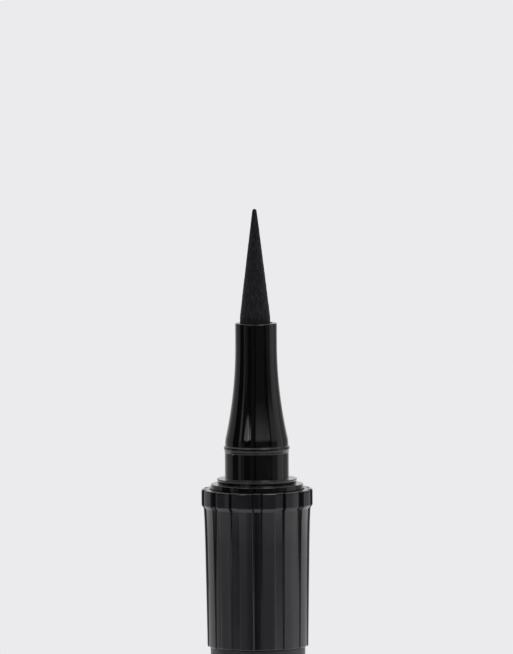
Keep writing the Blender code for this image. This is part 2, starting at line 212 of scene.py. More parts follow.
for strip_or_ceiling in (
    (5.0, -34.5, -31.5, 17, 44, 1, 3),
    (3.5, -26.0, -23.5, 17, 44, 1, 3),
    (1.15, -200, -150, 1, 90, 12, 2),
    (1.15, 150, 200, 1, 90, 12, 2),
    (0.90, -200, 200, 40, 90, 2, 8),
    (6.0, 22, 62, 46, 68, 4, 3),
):
    light = panel(light, *strip_or_ceiling)
for level, start, end, table_edge in (
    (1.00, -200, -105, -6.7),
    (0.68, -105, -60, -6.7),
    (0.66, -60, -22, -7.6),
    (0.35, -22, -10, -7.6),
    (0.12, -10, 6, -7.6),
    (0.62, 6, 40, -7.6),
    (1.15, 40, 58, -6.7),
    (1.10, 58, 108, -6.7),
    (1.20, 108, 200, -6.7),
):
    light = panel(light, level, start, end, -90, table_edge, 4, 1)
light = panel(light, 0.95, -200, 200, -90, -30, 2, 8)
paths = sky.nodes.new("ShaderNodeLightPath")
by_camera, by_glass, by_gloss = (
    Wire(sky, paths.outputs[name])
    for name in ("Is Camera Ray", "Is Transmission Ray", "Is Glossy Ray")
)
behind = ramp(abs(azimuth), 146, 158) * ramp(elevation, -7, -5) * (1 - ramp(elevation, 30, 50))
seen = by_camera + by_glass + by_gloss * behind
tint = Wire.node(sky, "ShaderNodeCombineColor", None, {0: light, 1: light, 2: light * 1.01})
backdrop = Wire.node(sky, "ShaderNodeBackground", None, {"Color": blend(sky, seen, tint, pale)})
sky_out = sky.nodes.new("ShaderNodeOutputWorld")
sky.links.new(backdrop.socket, sky_out.inputs["Surface"])
bpy.context.scene.world = world


def lamp(name, place, aim, size, radiance):
    """A square soft lamp that lights the matt side of things and leaves no reflection."""
    data = bpy.data.lights.new(name, "AREA")
    data.size = size
    data.energy = radiance * size * size * math.pi
    made = bpy.data.objects.new(name, data)
    backward = Vector(place) - Vector(aim)
    turned_to = backward.to_track_quat("Z", "Y").to_matrix().to_4x4()
    made.matrix_world = Matrix.Translation(place) @ turned_to
    made.visible_glossy = False
    bpy.context.scene.collection.objects.link(made)
    return made


lamp("Softbox_over", (-0.25, -0.35, 1.05), (0, 0, 0.10), 0.60, 1.0)
lamp("Softbox_front", (0.40, -1.10, 0.55), (0, 0, 0.10), 0.60, 1.6)


# Floor
# A matt pale board under the cap.  It fades out before the backdrop, so that it only takes
# the pen's soft shadow.
board_radius = 350 * mm
board_drop = 0.02 * mm
board_mesh = bpy.data.meshes.new("Board")
board = bmesh.new()
bmesh.ops.create_circle(board, cap_ends=True, segments=96, radius=board_radius)
bmesh.ops.translate(board, vec=(0, 0, -board_drop), verts=board.verts)
board.to_mesh(board_mesh)
board.free()
board_material = bpy.data.materials.new("Board card")
board_material.use_nodes = True
card = board_material.node_tree
card_shader = card.nodes["Principled BSDF"]
card_shader.inputs["Base Color"].default_value = (0.80, 0.80, 0.815, 1)
card_shader.inputs["Roughness"].default_value = 0.9
card_shader.inputs["Specular IOR Level"].default_value = 0.1
card_place = Wire.node(card, "ShaderNodeTexCoord", output=3)
card_far = Wire.node(
    card, "ShaderNodeVectorMath", {"operation": "LENGTH"}, {0: card_place}, output=1,
)
card_fade = ramp(card_far, 0.25 * board_radius, 0.95 * board_radius)
card_solid = Wire(card, card_shader.outputs[0])
card_clear = Wire.node(card, "ShaderNodeBsdfTransparent")
card_mix = Wire.node(
    card, "ShaderNodeMixShader", None, {0: card_fade, 1: card_solid, 2: card_clear},
)
card.links.new(card_mix.socket, card.nodes["Material Output"].inputs["Surface"])
board_mesh.materials.append(board_material)
board_object = bpy.data.objects.new("Board", board_mesh)
bpy.context.scene.collection.objects.link(board_object)


# Ink tank
# A closed-end tube of natural plastic that holds the free ink, injection moulded with a
# gate mark on its foot.  It stands in the barrel between the tail plug and the stopper.
def span(node):
    """Radius, foot and top of a piece of the frame, in millimetres."""
    low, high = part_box(node)
    return high.x / mm, low.z / mm, high.z / mm


def rounded(corners, closed=True, steps=6):
    """Rounds the corners of an outline of (radius, height, edge), edge being the arc's radius.

    The outline runs down the outer side.  Gives (radius, height, wear) points, with wear 1 on the
    outward edges (the satin paints these lighter: partly wear, partly a painted highlight),
    and a point beside each arc that keeps the walls between them flat.
    """
    points = []
    count = len(corners)
    for index, (radius, height, edge) in enumerate(corners):
        if edge == 0 or (not closed and index in (0, count - 1)):
            points.append((radius, height, 0.0))
            continue
        corner = Vector((radius, height))
        before = Vector(corners[index - 1][:2]) - corner
        after = Vector(corners[(index + 1) % count][:2]) - corner
        side_in, side_out = before.length, after.length
        before.normalize()
        after.normalize()
        half = before.angle(after) / 2
        reach = edge / math.tan(half)
        centre = corner + (before + after).normalized() * edge / math.sin(half)
        outward = 1.0 if before.cross(after) > 0 else 0.0
        spoke = corner + before * reach - centre
        sweep = math.pi - 2 * half
        turn = sweep if (-before).cross(after) > 0 else -sweep
        hold = reach + 0.4 * edge
        if hold < 0.48 * side_in:
            points.append((*(corner + before * hold), 0.0))
        for step in range(steps + 1):
            point = centre + Matrix.Rotation(turn * step / steps, 2) @ spoke
            points.append((point.x, point.y, outward))
        if hold < 0.48 * side_out:
            points.append((*(corner + after * hold), 0.0))
    return points


crease_angle = math.radians(40)


def turned(name, points, closed=True, columns=192):
    """Turns (radius, height, wear) points about the pen's axis into a piece's mesh."""
    mesh = bpy.data.meshes.new(name)
    shape = bmesh.new()
    worn = shape.verts.layers.float.new("wear")
    rings = []
    for radius, height, wear in points:
        pole = radius < 1e-6
        ring = []
        for column in range(1 if pole else columns):
            angle = math.tau * column / columns
            vertex = shape.verts.new((
                radius * mm * math.cos(angle), radius * mm * math.sin(angle), height * mm,
            ))
            vertex[worn] = wear
            ring.append(vertex)
        rings.append(ring)
    pairs = list(zip(rings, rings[1:]))
    if closed:
        pairs.append((rings[-1], rings[0]))
    for upper, lower in pairs:
        for column in range(columns):
            following = (column + 1) % columns
            if len(upper) == 1:
                shape.faces.new((upper[0], lower[column], lower[following]))
            elif len(lower) == 1:
                shape.faces.new((upper[following], upper[column], lower[0]))
            else:
                shape.faces.new((upper[following], upper[column], lower[column], lower[following]))
    bmesh.ops.recalc_face_normals(shape, faces=shape.faces)
    shape.to_mesh(mesh)
    shape.free()
    mesh.shade_smooth()
    mesh.set_sharp_from_angle(angle=crease_angle)
    return mesh


def piece(mesh, material):
    """Puts a finished mesh into the scene under its own name."""
    mesh.materials.clear()
    mesh.materials.append(material)
    made = bpy.data.objects.new(mesh.name, mesh)
    bpy.context.scene.collection.objects.link(made)
    return made


def finish(name, **values):
    """A new material whose Principled shader has these constant values."""
    material = bpy.data.materials.new(name)
    material.use_nodes = True
    shader = material.node_tree.nodes["Principled BSDF"]
    for key, value in values.items():
        shader.inputs[key.replace("_", " ")].default_value = value
    return material, material.node_tree, shader


def grain(tree, scale, detail=3.0, stretch=(1, 1, 1), roughness=0.5):
    """Cloudy noise in the piece's own metres; stretch under 1 draws it out along an axis."""
    place = Wire.node(tree, "ShaderNodeTexCoord", output=3)
    drawn = Wire.node(
        tree, "ShaderNodeVectorMath", {"operation": "MULTIPLY"}, {0: place, 1: stretch},
    )
    return Wire.node(
        tree, "ShaderNodeTexNoise", None,
        {"Vector": drawn, "Scale": scale, "Detail": detail, "Roughness": roughness},
    )


def wear(tree):
    """The mesh's own edge value: 1 on outward edges, 0 on walls; it marks wear, and in the satin
    also a painted highlight.
    """
    return Wire.node(tree, "ShaderNodeAttribute", {"attribute_name": "wear"}, output=2)


def vary(shader, socket, value):
    """Feeds a varying value into one of the shader's sockets."""
    value.tree.links.new(value.socket, shader.inputs[socket])


def relief(shader, height, depth):
    """Small relief on the surface, depth being its full height in metres."""
    bump = Wire.node(height.tree, "ShaderNodeBump", None, {"Height": height, "Distance": depth})
    vary(shader, "Normal", bump)


tank_radius, tank_foot, tank_top = span("ink_tank")
tank_wall = 0.55
tank_floor = 0.70
tank_bore = tank_radius - tank_wall
tank_tints = (0.66, 0.675, 0.65, 1), (0.78, 0.785, 0.77, 1)
tank_mesh = turned("tank_tube", rounded([
    (0, tank_foot + tank_floor, 0),
    (tank_bore, tank_foot + tank_floor, 0.50),
    (tank_bore, tank_top, 0.08),
    (tank_radius, tank_top, 0.10),
    (tank_radius, tank_foot, 0.45),
    (0.90, tank_foot, 0.05),
    (0.80, tank_foot + 0.12, 0.05),
    (0.30, tank_foot + 0.12, 0.05),
    (0.25, tank_foot + 0.02, 0.05),
    (0, tank_foot + 0.02, 0),
], closed=False), closed=False)
tank_material, tree, shader = finish(
    "Tank milky plastic", IOR=1.50, Subsurface_Weight=0.15, Subsurface_Scale=0.4 * mm,
)
cloud = grain(tree, 420, 4)
drawn = grain(tree, 2600, 2, (1, 1, 0.04))
vary(shader, "Base Color", blend(tree, cloud, *tank_tints))
vary(shader, "Roughness", 0.36 + 0.14 * cloud + 0.12 * wear(tree))
relief(shader, drawn * 0.6 + cloud * 0.4, 6e-6)
tank = piece(tank_mesh, tank_material)
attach(tank, "pen")
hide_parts("ink_tank")


# Mixing ball
# A loose steel ball that stirs the ink when the pen is shaken, cold headed and lapped.  It
# lies free in the tank.
def specks(tree, cell, size, share):
    """Small spots: one in each cell of that many millimetres, of which only a share shows."""
    place = Wire.node(tree, "ShaderNodeTexCoord", output=3)
    cells = tree.nodes.new("ShaderNodeTexVoronoi")
    cells.inputs["Scale"].default_value = 1 / (cell * mm)
    tree.links.new(place.socket, cells.inputs["Vector"])
    near = 1 - ramp(Wire(tree, cells.outputs["Distance"]), 0.6 * size / cell, size / cell)
    random = Wire(tree, cells.outputs["Color"])
    chance = Wire.node(tree, "ShaderNodeSeparateColor", None, {0: random})
    return near * chance.math("LESS_THAN", chance, share)


ball_low, ball_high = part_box("mixing_ball")
ball_centre = (ball_low.z + ball_high.z) / 2 / mm
ball_radius = (ball_high.z - ball_low.z) / 2 / mm
ball_rows = 96
steel_tints = (0.66, 0.66, 0.67, 1), (0.42, 0.41, 0.40, 1)
ball_points = []
for row in range(ball_rows + 1):
    turn = math.pi * row / ball_rows
    around = 0 if row in (0, ball_rows) else ball_radius * math.sin(turn)
    ball_points.append((around, ball_centre + ball_radius * math.cos(turn), 0.0))
ball_mesh = turned("steel_ball", ball_points, closed=False)
ball_material, tree, shader = finish("Ball steel", Metallic=1.0)
lapping = grain(tree, 5200, 5, (1, 1, 0.15))
stain = grain(tree, 700, 3)
pits = specks(tree, 0.45, 0.05, 0.35)
vary(shader, "Base Color", blend(tree, stain * 0.5 + pits * 0.5, *steel_tints))
vary(shader, "Roughness", 0.10 + 0.12 * lapping + 0.25 * pits)
relief(shader, lapping * 0.3 - pits, 4e-6)
ball = piece(ball_mesh, ball_material)
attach(ball, "ball")
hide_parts("mixing_ball")


# Tank stopper
# A bored plug of natural plastic, moulded, with two sealing beads round its stem.  It is
# pressed into the tank's mouth and carries the feed rod through its middle.
stopper_radius, stopper_foot, stopper_top = span("tank_stopper")
flange_foot = tank_top + 0.03
stem_radius = tank_bore - 0.10
stem_root = stem_radius - 0.12
stopper_bore = 0.95
stopper_tints = (0.69, 0.70, 0.68, 1), (0.80, 0.80, 0.79, 1)
stopper_corners = [
    (stopper_radius, stopper_top, 0.12),
    (stopper_radius, flange_foot, 0.06),
    (stem_root, flange_foot, 0.04),
]
for bead in (0.9, 1.9):
    stopper_corners += [
        (stem_root, flange_foot - bead + 0.22, 0.06),
        (stem_radius + 0.06, flange_foot - bead, 0.10),
        (stem_root, flange_foot - bead - 0.22, 0.06),
    ]
stopper_corners += [
    (stem_root, stopper_foot + 0.45, 0.10),
    (stem_root - 0.35, stopper_foot, 0.08),
    (stopper_bore + 0.15, stopper_foot, 0.04),
    (stopper_bore, stopper_foot + 0.20, 0.04),
    (stopper_bore, stopper_top - 0.20, 0.04),
    (stopper_bore + 0.15, stopper_top, 0.04),
]
stopper_mesh = turned("stopper_plug", rounded(stopper_corners))
stopper_material, tree, shader = finish("Stopper plastic", IOR=1.50)
cloud = grain(tree, 600, 4)
ring_marks = grain(tree, 6000, 2, (0.05, 0.05, 1))
vary(shader, "Base Color", blend(tree, cloud, *stopper_tints))
vary(shader, "Roughness", 0.38 + 0.12 * ring_marks + 0.10 * wear(tree))
relief(shader, ring_marks, 5e-6)
stopper = piece(stopper_mesh, stopper_material)
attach(stopper, "pen")
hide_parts("tank_stopper")


# Feed rod
# A rod of bonded fibre that draws the ink up to the nib, pulled through a die and cut to
# length, so it is ribbed along by its fibres.  It is held in the stopper and the collector.
rod_radius, rod_foot, rod_top = span("feed_rod")
rib_count = 24
rib_depth = 0.025 * mm
fibre_tints = (0.008, 0.008, 0.009, 1), (0.026, 0.026, 0.028, 1)
rod_mesh = turned("fibre_rod", rounded([
    (0, rod_top, 0),
    (rod_radius, rod_top, 0.18),
    (rod_radius, (rod_top + rod_foot) / 2, 0),
    (rod_radius, rod_foot, 0.18),
    (0, rod_foot, 0),
], closed=False), closed=False)
for vertex in rod_mesh.vertices:
    turn = math.atan2(vertex.co.y, vertex.co.x)
    around = math.hypot(vertex.co.x, vertex.co.y)
    if around > 0.5 * rod_radius * mm:
        rib = 0.5 + 0.5 * math.sin(rib_count * turn)
        vertex.co.x -= rib_depth * rib * math.cos(turn)
        vertex.co.y -= rib_depth * rib * math.sin(turn)
rod_material, tree, shader = finish("Feed fibre", Sheen_Weight=0.15, Sheen_Roughness=0.6)
fibres = grain(tree, 9000, 3, (1, 1, 0.02))
soak = grain(tree, 260, 3, (1, 1, 0.4))
vary(shader, "Base Color", blend(tree, fibres, *fibre_tints))
vary(shader, "Roughness", 0.72 + 0.18 * soak)
relief(shader, fibres, 2e-5)
rod = piece(rod_mesh, rod_material)
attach(rod, "pen")
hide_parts("feed_rod")


# Ink collector
# A comb of thin fins on a hollow core, moulded in one.  Spare ink stands between the fins,
# a slit down one side feeds it and a notch down the other lets the air out.
comb_radius, comb_foot, comb_top = span("ink_collector")
comb_bore = 0.95
comb_core = 1.45
comb_head = 1.00
comb_base = 1.60
fin_pitch = 1.10
fin_thickness = 0.50
slit_width = 0.40
notch_width = 0.70
notch_depth = 0.45
head_foot = comb_top - comb_head
base_top = comb_foot + comb_base
fin_count = int((head_foot - base_top) / fin_pitch) - 1
comb_tints = (0.68, 0.69, 0.67, 1), (0.79, 0.79, 0.78, 1)


def fin_plan(columns=160):
    """Plan of one fin, as its outer line from one side of the slit round to the other."""
    half_slit = math.asin(slit_width / 2 / comb_radius)
    half_notch = math.asin(notch_width / 2 / comb_radius)
    line = []
    for column in range(columns + 1):
        turn = half_slit + (math.tau - 2 * half_slit) * column / columns
        off = abs(turn - math.pi) / half_notch
        dip = notch_depth * min(1, max(0, (1.12 - off) / 0.12))
        radius = comb_radius - dip
        line.append((radius * math.cos(turn), radius * math.sin(turn)))
    return line


def fin_mesh():
    """One fin at the head of the comb, tapering in thickness to its rim."""
    mesh = bpy.data.meshes.new("fin")
    shape = bmesh.new()
    worn = shape.verts.layers.float.new("wear")
    middle = head_foot - fin_pitch
    rim = 0.32 * fin_thickness
    root = 0.50 * fin_thickness
    plan = fin_plan()
    sections = []
    for x, y in plan:
        outer = Vector((x, y))
        way = outer.normalized()
        inner = way * (comb_core - 0.04)
        section = []
        for point, half, mark in (
            (inner, root, 0),
            (outer - way * 0.10, rim + 0.02, 0),
            (outer - way * 0.03, rim - 0.02, 1),
            (outer, rim - 0.08, 1),
            (outer, 0.08 - rim, 1),
            (outer - way * 0.03, 0.02 - rim, 1),
            (outer - way * 0.10, -rim - 0.02, 0),
            (inner, -root, 0),
        ):
            vertex = shape.verts.new((point.x * mm, point.y * mm, (middle + half) * mm))
            vertex[worn] = mark
            section.append(vertex)
        sections.append(section)
    for one, two in zip(sections, sections[1:]):
        for index in range(len(one)):
            shape.faces.new((one[index - 1], one[index], two[index], two[index - 1]))
    shape.faces.new(sections[0])
    shape.faces.new(reversed(sections[-1]))
    bmesh.ops.recalc_face_normals(shape, faces=shape.faces)
    shape.to_mesh(mesh)
    shape.free()
    mesh.shade_smooth()
    mesh.set_sharp_from_angle(angle=crease_angle)
    return mesh


def run(tree_name, obj, sockets, build):
    """Runs a Geometry Nodes tree on an object and keeps its result as the plain mesh."""
    tree = bpy.data.node_groups.new(tree_name, "GeometryNodeTree")
    tree.interface.new_socket("Geometry", in_out="INPUT", socket_type="NodeSocketGeometry")
    for label, kind, _ in sockets:
        tree.interface.new_socket(label, in_out="INPUT", socket_type=kind)
    tree.interface.new_socket("Geometry", in_out="OUTPUT", socket_type="NodeSocketGeometry")
    entry = tree.nodes.new("NodeGroupInput")
    given = {socket.name: Wire(tree, socket) for socket in entry.outputs if socket.name}
    result = build(tree, given)
    leave = tree.nodes.new("NodeGroupOutput")
    tree.links.new(result.socket, leave.inputs[0])
    modifier = obj.modifiers.new(tree_name, "NODES")
    modifier.node_group = tree
    for label, _, value in sockets:
        for item in tree.interface.items_tree:
            if item.in_out == "INPUT" and item.name == label:
                modifier[item.identifier] = value
    bpy.context.view_layer.update()
    graph = bpy.context.evaluated_depsgraph_get()
    mesh = bpy.data.meshes.new_from_object(obj.evaluated_get(graph), depsgraph=graph)
    mesh.name = obj.name
    obj.modifiers.remove(modifier)
    obj.data = mesh
    mesh.set_sharp_from_angle(angle=crease_angle)
    return obj


def comb_tree(tree, given):
    """Repeats the fin down a line of points and joins the core to the row."""
    step = Wire.node(tree, "ShaderNodeCombineXYZ", None, {2: 0 - given["Pitch"]})
    line = Wire.node(tree, "GeometryNodeMeshLine", None, {"Count": given["Count"], "Offset": step})
    row = Wire.node(
        tree, "GeometryNodeInstanceOnPoints", None,
        {"Points": line, "Instance": given["Geometry"]},
    )
    core = Wire.node(
        tree, "GeometryNodeObjectInfo", None, {"Object": given["Core"]}, output="Geometry",
    )
    both = tree.nodes.new("GeometryNodeJoinGeometry")
    tree.links.new(core.socket, both.inputs[0])
    tree.links.new(row.socket, both.inputs[0])
    joined = Wire(tree, both.outputs[0])
    plain = Wire.node(tree, "GeometryNodeRealizeInstances", None, {"Geometry": joined})
    return Wire.node(
        tree, "GeometryNodeSetMaterial", None,
        {"Geometry": plain, "Material": given["Material"]},
    )


comb_material, tree, shader = finish("Collector plastic", IOR=1.50)
cloud = grain(tree, 500, 4)
flow = grain(tree, 3500, 3, (1, 1, 0.3))
vary(shader, "Base Color", blend(tree, cloud, *comb_tints))
vary(shader, "Roughness", 0.40 + 0.12 * flow + 0.08 * wear(tree))
relief(shader, flow, 6e-6)
core_mesh = turned("comb_core", rounded([
    (comb_radius, comb_top, 0.10),
    (comb_radius, head_foot, 0.08),
    (comb_core, head_foot, 0.10),
    (comb_core, base_top, 0.10),
    (comb_radius, base_top, 0.08),
    (comb_radius, comb_foot, 0.10),
    (comb_bore + 0.12, comb_foot, 0.03),
    (comb_bore, comb_foot + 0.15, 0.03),
    (comb_bore, comb_top - 0.15, 0.03),
    (comb_bore + 0.12, comb_top, 0.03),
]), columns=128)
core = piece(core_mesh, comb_material)
comb = piece(fin_mesh(), comb_material)
comb.name = "collector_comb"
run("Collector comb", comb, [
    ("Count", "NodeSocketInt", fin_count),
    ("Pitch", "NodeSocketFloat", fin_pitch * mm),
    ("Core", "NodeSocketObject", core),
    ("Material", "NodeSocketMaterial", comb_material),
], comb_tree)
bpy.data.objects.remove(core, do_unlink=True)
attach(comb, "pen")
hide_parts("ink_collector")


# Neck and collar
# One moulding of polished black plastic: the neck that takes the nose, two round steps that
# close the sleeve's mouth, and below them the spigot and the collector's housing.
dust_grey = (0.28, 0.27, 0.26, 1)
polished_black = 0.0016
polished_roughness = 0.07


def gloss(name):
    """Polished black plastic with faint flow waves, handling haze and a few grains of dust."""
    material, tree, shader = finish(name, IOR=1.50)
    wave = grain(tree, 240, 2)
    haze = grain(tree, 900, 4, roughness=0.6)
    dust = specks(tree, 1.1, 0.055, 0.16)
    outer_edges = wear(tree)
    dim, lit = (
        (polished_black * level, polished_black * level, polished_black * (level + 0.05), 1)
        for level in (0.8, 1.3)
    )
    vary(shader, "Base Color", blend(tree, dust, blend(tree, haze, dim, lit), dust_grey))
    roughness = polished_roughness * (0.7 + 0.6 * haze)
    vary(shader, "Roughness", roughness + 0.05 * outer_edges + 0.4 * dust)
    relief(shader, wave * 1.0 + haze * 0.12 + dust * 0.3, 1.2e-5)
    return material


disc_radius, collar_foot, neck_top = span("neck_collar")
crown_z = crown_top / mm
disc_z = crown_z + 0.52
lip_z = disc_z + 0.53
neck_radius = 2.905
neck_bore = 2.40
lip_radius = 3.63
recess_floor = crown_z - 0.95
spigot_radius = 3.70
spigot_foot = 112.01
housing_radius = 3.15
housing_bore = 2.75
comb_stop = comb_top + 0.25
neck_floor = 118.86
collar_mesh = turned("collar_moulding", rounded([
    (neck_radius + 0.030, neck_top + 0.02, 0.03),
    (neck_radius, neck_top - 0.10, 0.10),
    (neck_radius, lip_z - 0.05, 0.05),
    (lip_radius + 0.02, lip_z - 0.05, 0.06),
    (lip_radius - 0.07, disc_z, 0.03),
    (disc_radius, disc_z, 0.09),
    (disc_radius, recess_floor, 0.04),
    (spigot_radius, recess_floor, 0.06),
    (spigot_radius, spigot_foot, 0.10),
    (housing_radius, spigot_foot, 0.06),
    (housing_radius, collar_foot, 0.08),
    (housing_bore, collar_foot, 0.08),
    (housing_bore, comb_stop, 0.15),
    (neck_bore, neck_floor, 0.15),
    (neck_bore, neck_top - 0.05, 0.05),
]), columns=256)
collar = piece(collar_mesh, gloss("Collar gloss"))
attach(collar, "pen")
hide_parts("neck_collar")


# Nib holder
# A bushing of natural plastic with shallow rings outside.  It is pressed into the nose's
# foot and grips the nib's thin shank.
holder_radius, holder_foot, holder_top = span("nib_holder")
holder_bore = 1.017
holder_root = 1.60
ring_radius = 1.72
ring_count = 3
ring_pitch = 0.70
flange_foot = holder_top - 0.60
first_ring = flange_foot - 0.45
holder_tints = (0.68, 0.69, 0.67, 1), (0.78, 0.78, 0.77, 1)
ink_stain = (0.05, 0.05, 0.055, 1)
holder_corners = [
    (holder_radius, holder_top, 0.10),
    (holder_radius, flange_foot, 0.08),
    (holder_root, flange_foot, 0.05),
]
for ring in range(ring_count):
    ring_z = first_ring - ring_pitch * ring
    holder_corners += [
        (holder_root, ring_z + 0.12, 0.04),
        (ring_radius, ring_z - 0.10, 0.04),
        (holder_root, ring_z - 0.20, 0.04),
    ]
holder_corners += [
    (holder_root - 0.02, holder_foot + 0.20, 0.05),
    (holder_root - 0.15, holder_foot, 0.05),
    (holder_bore + 0.10, holder_foot, 0.04),
    (holder_bore, holder_foot + 0.15, 0.04),
    (holder_bore, holder_top - 0.15, 0.04),
    (holder_bore + 0.10, holder_top, 0.04),
]
holder_mesh = turned("nib_bushing", rounded(holder_corners))
holder_material, tree, shader = finish("Nib holder plastic", IOR=1.50)
cloud = grain(tree, 800, 4)
turned_marks = grain(tree, 7000, 2, (0.04, 0.04, 1))
ink = grain(tree, 350, 4)
shade = blend(tree, cloud, *holder_tints)
vary(shader, "Base Color", blend(tree, ramp(ink, 0.60, 0.68), shade, ink_stain))
vary(shader, "Roughness", 0.40 + 0.10 * turned_marks + 0.10 * wear(tree))
relief(shader, turned_marks, 4e-6)
holder = piece(holder_mesh, holder_material)
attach(holder, "pen")
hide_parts("nib_holder")


# Nib
# A long cone of bonded felt, ground to a rounded point and soaked with black ink.  Its
# straight guide slides into the nose and its thin shank is gripped by the holder.
nib_radius, nib_foot, nib_top = span("nib")
mouth_z = span("nose_cone")[2]
nib_lean = -0.08
nib_side = nib_radius - 0.01
cone_foot = mouth_z + 0.50
tip_radius = 0.20
shank_radius = 0.897
guide_foot = mouth_z - 2.60
tip_rows, cone_rows, guide_rows = 8, 150, 30
tip_z = nib_top - 0.10
tip_sweep = math.radians(82)
cone_belly = 0.98
fibre_swell, coarse_swell = 0.022, 0.012
ink_tints = (0.0006, 0.0006, 0.0022, 1), (0.0120, 0.0120, 0.0160, 1)
speck_grey = (0.060, 0.060, 0.062, 1)
nib_points = [(0, tip_z, 0.0)]
for row in range(1, tip_rows + 1):
    turn = tip_sweep * row / tip_rows
    height = tip_z - tip_radius * (1 - math.cos(turn))
    nib_points.append((tip_radius * math.sin(turn), height, 1.0))
cone_top_radius, cone_top, _ = nib_points[-1]
for row in range(1, cone_rows + 1):
    share = row / cone_rows
    height = cone_top + (cone_foot - cone_top) * share
    around = cone_top_radius + (nib_side - cone_top_radius) * share ** cone_belly
    nib_points.append((around, height, 0.0))
for row in range(1, guide_rows + 1):
    height = cone_foot + (guide_foot - cone_foot) * row / guide_rows
    nib_points.append((nib_side, height, 0.0))
nib_points += [
    (shank_radius + 0.03, guide_foot - 0.48, 0.0),
    (shank_radius, guide_foot - 0.56, 0.0),
    (shank_radius, nib_foot + 0.14, 0.0),
    (shank_radius - 0.12, nib_foot, 0.0),
    (0, nib_foot, 0.0),
]
nib_mesh = turned("felt_nib", nib_points, closed=False, columns=160)
for vertex in nib_mesh.vertices:
    x, y, z = vertex.co / mm
    around = math.hypot(x, y)
    if z > mouth_z + 0.2 and around > 1e-6:
        fibre = noise.noise(Vector((x * 7, y * 7, z * 5)))
        coarse = noise.noise(Vector((x * 1.6, y * 1.6, z * 0.8 + 40)))
        swell = (fibre_swell * fibre + coarse_swell * coarse) * min(1, (tip_z - z) / 1.5)
        swell = 1 + swell / max(around, 0.15)
        x, y = x * swell, y * swell
    lean = nib_lean * min(1, max(0, (z - mouth_z + 2.0) / 2.0))
    vertex.co = Vector((x + lean, y, z)) * mm
nib_material, tree, shader = finish("Nib felt", Sheen_Weight=0.06, Sheen_Roughness=0.5)
shader.inputs["Specular IOR Level"].default_value = 0.22
fibre = grain(tree, 5200, 3, (1, 1, 0.5), 0.6)
speck = specks(tree, 0.22, 0.045, 0.30)
soak = grain(tree, 500, 3)
shade = blend(tree, ramp(fibre, 0.30, 0.72), *ink_tints)
vary(shader, "Base Color", blend(tree, speck * 0.6, shade, speck_grey))
vary(shader, "Roughness", 0.80 + 0.15 * soak)
relief(shader, fibre, 5e-5)
nib = piece(nib_mesh, nib_material)
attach(nib, "pen")
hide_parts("nib")


# Nose cone
# Polished black plastic: a thin mouth round the nib, a concave flare, a short straight foot
# and a fine bead at the seam.  Its hollow stem is pushed into the neck.
nose_foot = span("nose_cone")[1]
mouth_radius = 1.898
mouth_bore = 1.50
bead_radius = 2.985
foot_radius = 2.870
bead_foot = neck_top + 0.04
bead_top = neck_top + 0.54
nose_height = mouth_z - bead_top
land_share = 0.173
flare_share = 0.957
flare_power = 2.03
flare_full = foot_radius - mouth_radius
flare_soft = 0.06
flare_rows = 64
flare_end = 1.03
bore_turn = bead_top + nose_height * 0.42
nose_stem = 2.25
nose_stem_bore = 1.85
holder_pocket = 2.22
nose_points = rounded([
    (mouth_bore, mouth_z - 1.0, 0),
    (mouth_bore, mouth_z, 0.07),
    (mouth_radius, mouth_z, 0.11),
    (mouth_radius, mouth_z - 1.2, 0),
], closed=False)[1:]
for row in range(flare_rows + 1):
    share = flare_end * row / flare_rows
    down = land_share + share * (flare_share - land_share)
    swell = flare_full * share ** flare_power
    easing = max(0, flare_soft - abs(flare_full - swell))
    swell = min(swell, flare_full) - easing ** 2 / (4 * flare_soft)
    nose_points.append((mouth_radius + swell, bead_top + nose_height * (1 - down), 0.0))
nose_points += rounded([
    (foot_radius, bead_top + 0.12, 0),
    (foot_radius, bead_top, 0.04),
    (bead_radius, bead_top - 0.11, 0.09),
    (bead_radius, bead_foot + 0.22, 0.08),
    (neck_radius + 0.030, bead_foot, 0.03),
    (nose_stem, bead_foot, 0.04),
    (nose_stem, nose_foot, 0.12),
    (nose_stem_bore, nose_foot, 0.08),
    (nose_stem_bore, bead_top, 0.06),
    (holder_pocket, bead_top, 0.06),
    (holder_pocket, bead_top + 1.40, 0.20),
    (mouth_bore, bore_turn, 0.60),
    (mouth_bore, mouth_z - 1.0, 0),
], closed=False)
nose_mesh = turned("nose_moulding", nose_points[:-1], columns=256)
nose = piece(nose_mesh, gloss("Nose gloss"))
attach(nose, "pen")
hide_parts("nose_cone")


# Grip sleeve
# Semi-gloss black plastic, moulded with fourteen grooves round a slightly tapering body and a
# wider crown ring at its mouth.  It is pushed over the barrel's spigot down to the shoulder.
sleeve_foot = span("grip_sleeve")[1] - 0.07
sleeve_top = crown_z + 0.045
crown_radius = span("cap_shell")[0] + 0.05
body_top = 4.85
body_foot = 4.58
recess_radius = 4.30
recess_z = crown_z - 1.10
sleeve_bore = 3.85
crown_foot = crown_z - 1.38
body_z = crown_foot - 0.28
body_height = body_z - sleeve_foot
sleeve_corners = [
    (recess_radius, sleeve_top, 0.07),
    (crown_radius, sleeve_top, 0.13),
    (crown_radius, crown_foot, 0.12),
    (body_top, body_z, 0.15),
]
for down, width in ((0.09, 0.78), (0.25, 0.58), (0.62, 0.28)):
    around = body_foot + (body_top - body_foot) * width
    sleeve_corners.append((around, body_z - body_height * down, 0))
sleeve_corners += [
    (body_foot, sleeve_foot, 0.10),
    (sleeve_bore, sleeve_foot, 0.06),
    (sleeve_bore, recess_z, 0.04),
    (recess_radius, recess_z, 0.04),
]
sleeve_points = rounded(sleeve_corners)
sleeve_mesh = bpy.data.meshes.new("sleeve_fluted")
sleeve_mesh.from_pydata(
    [(radius * mm, 0, height * mm) for radius, height, _ in sleeve_points], [], [],
)
edge_mark_layer = sleeve_mesh.attributes.new("worn", "FLOAT", "POINT")
edge_mark_layer.data.foreach_set("value", [worn for _, _, worn in sleeve_points])
fluted = sleeve_mesh.attributes.new("fluted", "FLOAT", "POINT")
